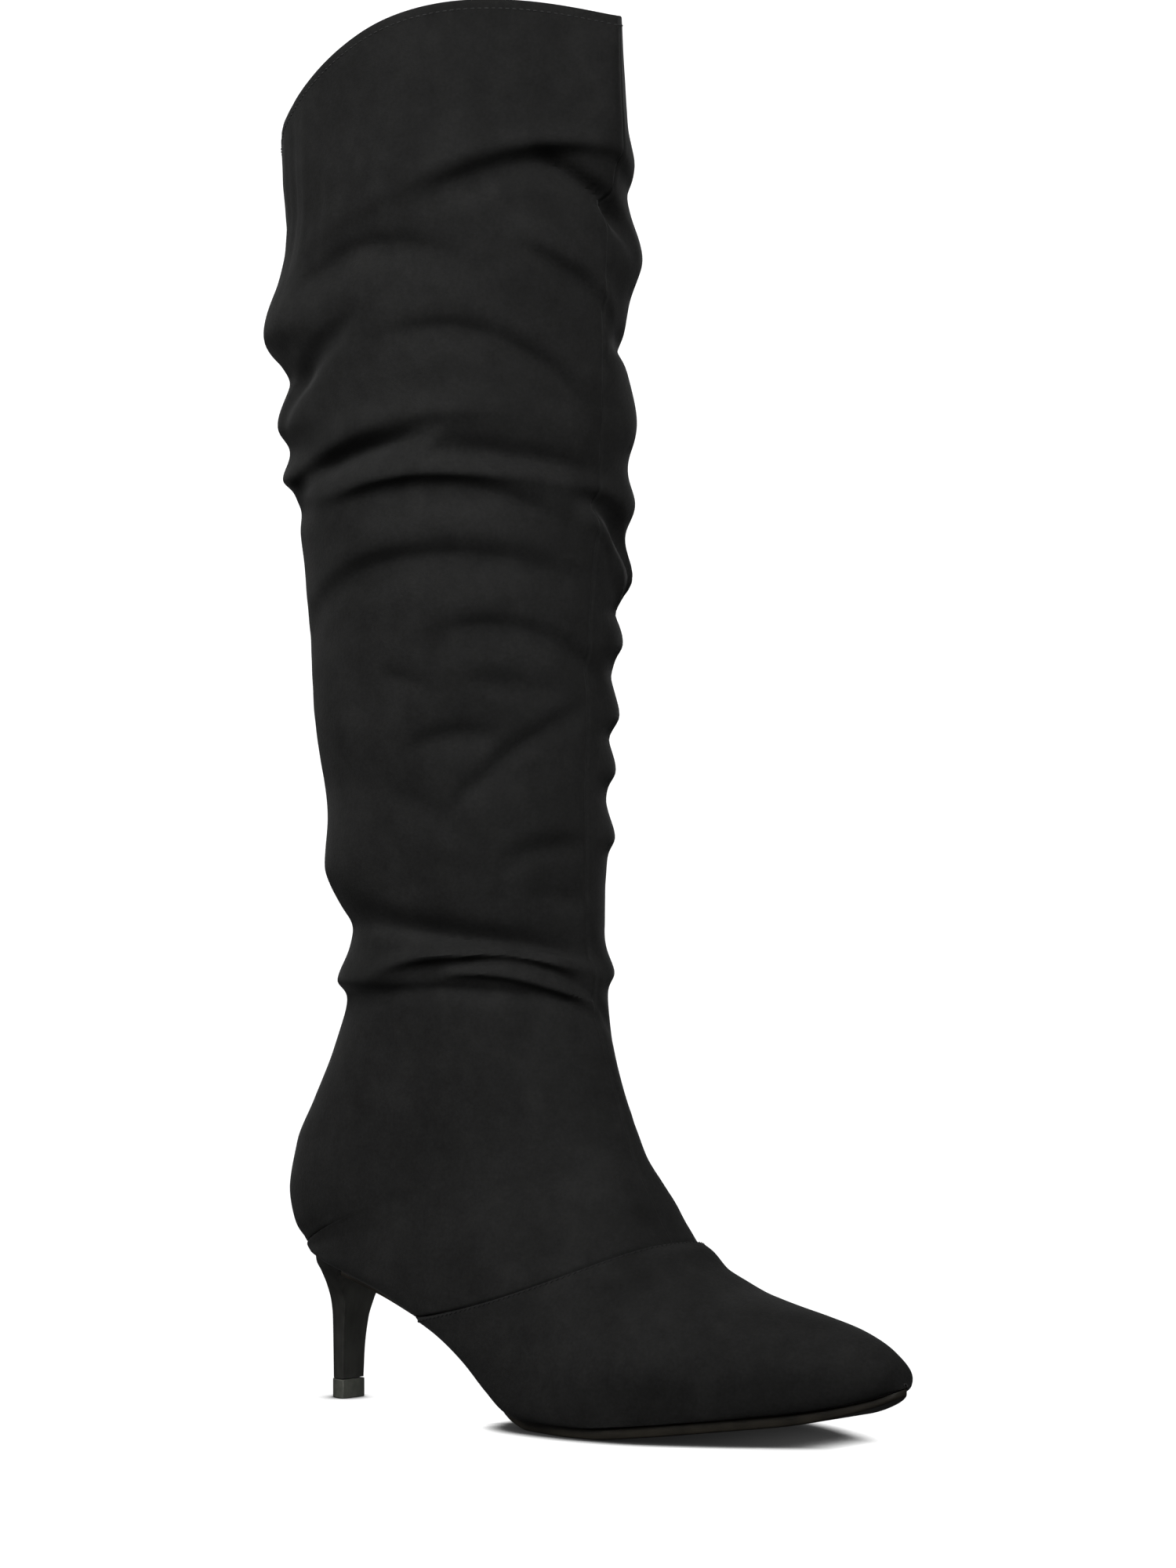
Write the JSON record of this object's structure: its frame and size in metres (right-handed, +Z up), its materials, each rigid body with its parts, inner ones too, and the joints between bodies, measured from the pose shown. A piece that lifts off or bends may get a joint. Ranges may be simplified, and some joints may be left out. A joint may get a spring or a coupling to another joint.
{
  "type": "high boot",
  "caption": "Knee-high slouch boot with a pointed toe, a slim low heel, a thin sole and a hollow gathered shaft open at the top, for the right foot.",
  "frame": {"origin": "middle of the heel tip's face on the floor", "axes": "+X to the toe, +Y to the inner side of the foot, +Z up"},
  "size_m": [0.2534, 0.1074, 0.468],
  "materials": {
    "suede": "black napped synthetic suede",
    "sole_rubber": "black, slightly glossy edge",
    "sock": "black lining cloth on board",
    "heel_cover": "smooth black cover, satin",
    "tip_rubber": "hard dark grey rubber"
  },
  "bodies": {
    "root": {"shaft": "suede", "vamp": "suede", "outsole": "sole_rubber", "insole": "sock", "heel": "heel_cover", "top_lift": "tip_rubber"}
  },
  "joints": []
}
